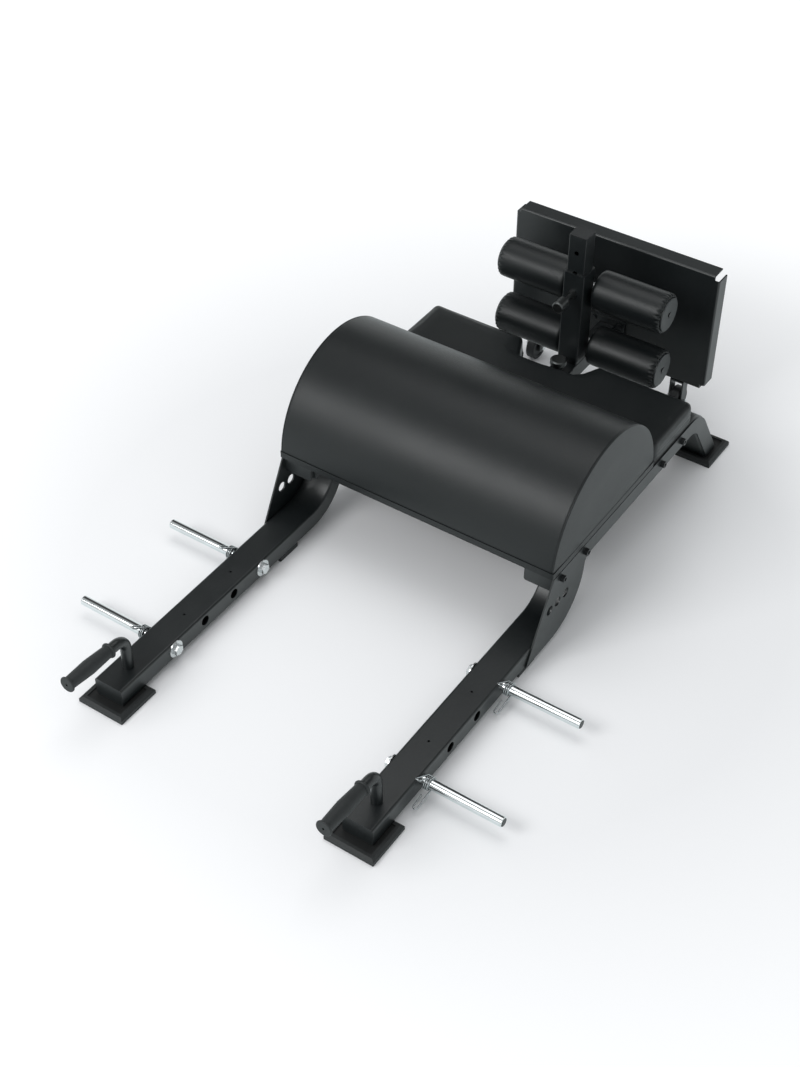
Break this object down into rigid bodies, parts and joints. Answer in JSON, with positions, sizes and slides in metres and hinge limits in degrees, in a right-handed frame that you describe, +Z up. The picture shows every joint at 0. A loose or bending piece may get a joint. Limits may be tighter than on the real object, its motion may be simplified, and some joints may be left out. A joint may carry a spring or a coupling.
{
  "type": "glute ham developer",
  "caption": "Low floor glute ham developer with a half-round thigh pad, flat pad, sliding footplate carriage, height-set ankle rollers, handles and band pegs.",
  "frame": {"origin": "middle of the bounding box, on the floor", "axes": "+X is the user's right, +Y runs from the handles to the footplate, +Z is up"},
  "size_m": [1.198, 1.8616, 0.61],
  "materials": {
    "frame_paint": "fine-texture black powder coat",
    "black_fasteners": "black oxide",
    "liner_plastic": "low-friction moulded plastic",
    "foot_rubber": "matte moulded rubber",
    "grip_rubber": "ribbed soft rubber",
    "peg_chrome": "bright chrome plate",
    "zinc_fasteners": "bright zinc plate",
    "pad_vinyl": "fine-grained black vinyl",
    "board_wood": "plain birch plywood",
    "wheel_rubber": "smooth solid rubber",
    "axle_steel": "plain turned steel",
    "hub_plastic": "moulded plastic",
    "pin_steel": "dark plated steel",
    "collar_wire": "plated spring wire"
  },
  "bodies": {
    "frame": {"left_leg": "frame_paint", "right_leg": "frame_paint", "left_rail": "frame_paint", "right_rail": "frame_paint", "left_side_plate": "frame_paint", "right_side_plate": "frame_paint", "front_cross_member": "frame_paint", "rear_cross_left": "frame_paint", "rear_cross_right": "frame_paint", "frame_bolts": "black_fasteners", "center_rail": "frame_paint", "rail_liners": "liner_plastic", "front_left_foot": "foot_rubber", "front_right_foot": "foot_rubber", "rear_left_foot": "foot_rubber", "rear_right_foot": "foot_rubber", "underbeam_pads": "foot_rubber", "left_handle": "frame_paint", "right_handle": "frame_paint", "left_grip": "grip_rubber", "right_grip": "grip_rubber", "front_left_peg": "peg_chrome", "front_right_peg": "peg_chrome", "rear_left_peg": "peg_chrome", "rear_right_peg": "peg_chrome", "peg_fasteners": "zinc_fasteners", "cylinder_pad": "pad_vinyl", "cylinder_board": "pad_vinyl", "flat_pad": "pad_vinyl", "flat_board": "board_wood", "board_bolts": "zinc_fasteners", "carriage_pin_barrel": "pin_steel"},
    "carriage": {"carriage_tube": "frame_paint", "roller_post": "frame_paint", "post_cap": "liner_plastic", "footplate": "frame_paint", "footplate_bolts": "black_fasteners", "wheel_forks": "frame_paint", "wheel_axles": "zinc_fasteners"},
    "left_wheel": {"left_wheel": "wheel_rubber"},
    "right_wheel": {"right_wheel": "wheel_rubber"},
    "roller_sleeve": {"roller_sleeve": "frame_paint", "sleeve_liners": "liner_plastic", "roller_axles": "axle_steel", "roller_screws": "black_fasteners", "sleeve_pin_barrel": "pin_steel"},
    "upper_left_roller": {"upper_left_hub": "hub_plastic", "upper_left_roller": "pad_vinyl"},
    "upper_right_roller": {"upper_right_hub": "hub_plastic", "upper_right_roller": "pad_vinyl"},
    "lower_left_roller": {"lower_left_hub": "hub_plastic", "lower_left_roller": "pad_vinyl"},
    "lower_right_roller": {"lower_right_hub": "hub_plastic", "lower_right_roller": "pad_vinyl"},
    "sleeve_pin": {"sleeve_pin": "pin_steel"},
    "carriage_pin": {"carriage_pin": "pin_steel"},
    "front_left_collar": {"front_left_collar": "collar_wire"},
    "front_right_collar": {"front_right_collar": "collar_wire"},
    "rear_left_collar": {"rear_left_collar": "collar_wire"},
    "rear_right_collar": {"rear_right_collar": "collar_wire"}
  },
  "joints": [
    {"name": "carriage_slide", "type": "slide", "parent": "frame", "child": "carriage", "axis": [0, 1, 0], "range_m": [0, 0.15]},
    {"name": "sleeve_slide", "type": "slide", "parent": "carriage", "child": "roller_sleeve", "axis": [0, 0, 1], "range_m": [0, 0.12]},
    {"name": "left_wheel_spin", "type": "hinge", "parent": "carriage", "child": "left_wheel", "pos_m": [-0.225, 0.89089, 0.0405], "axis": [1, 0, 0], "continuous": true},
    {"name": "right_wheel_spin", "type": "hinge", "parent": "carriage", "child": "right_wheel", "pos_m": [0.225, 0.89089, 0.0405], "axis": [1, 0, 0], "continuous": true},
    {"name": "upper_left_roller_spin", "type": "hinge", "parent": "roller_sleeve", "child": "upper_left_roller", "pos_m": [-0.139, 0.72439, 0.429], "axis": [1, 0, 0], "continuous": true},
    {"name": "upper_right_roller_spin", "type": "hinge", "parent": "roller_sleeve", "child": "upper_right_roller", "pos_m": [0.139, 0.72439, 0.429], "axis": [1, 0, 0], "continuous": true},
    {"name": "lower_left_roller_spin", "type": "hinge", "parent": "roller_sleeve", "child": "lower_left_roller", "pos_m": [-0.139, 0.72439, 0.253], "axis": [1, 0, 0], "continuous": true},
    {"name": "lower_right_roller_spin", "type": "hinge", "parent": "roller_sleeve", "child": "lower_right_roller", "pos_m": [0.139, 0.72439, 0.253], "axis": [1, 0, 0], "continuous": true},
    {"name": "sleeve_pin_pull", "type": "slide", "parent": "roller_sleeve", "child": "sleeve_pin", "axis": [0, -1, 0], "range_m": [-0.01, 0.003], "stiffness_N_per_m": 900, "springref_m": -0.014},
    {"name": "carriage_pin_pull", "type": "slide", "parent": "frame", "child": "carriage_pin", "axis": [0, 0, 1], "range_m": [-0.01, 0.003], "stiffness_N_per_m": 900, "springref_m": -0.014},
    {"name": "front_left_collar_slide", "type": "slide", "parent": "frame", "child": "front_left_collar", "axis": [-1, 0, 0], "range_m": [0, 0.17]},
    {"name": "front_right_collar_slide", "type": "slide", "parent": "frame", "child": "front_right_collar", "axis": [1, 0, 0], "range_m": [0, 0.17]},
    {"name": "rear_left_collar_slide", "type": "slide", "parent": "frame", "child": "rear_left_collar", "axis": [-1, 0, 0], "range_m": [0, 0.17]},
    {"name": "rear_right_collar_slide", "type": "slide", "parent": "frame", "child": "rear_right_collar", "axis": [1, 0, 0], "range_m": [0, 0.17]}
  ]
}
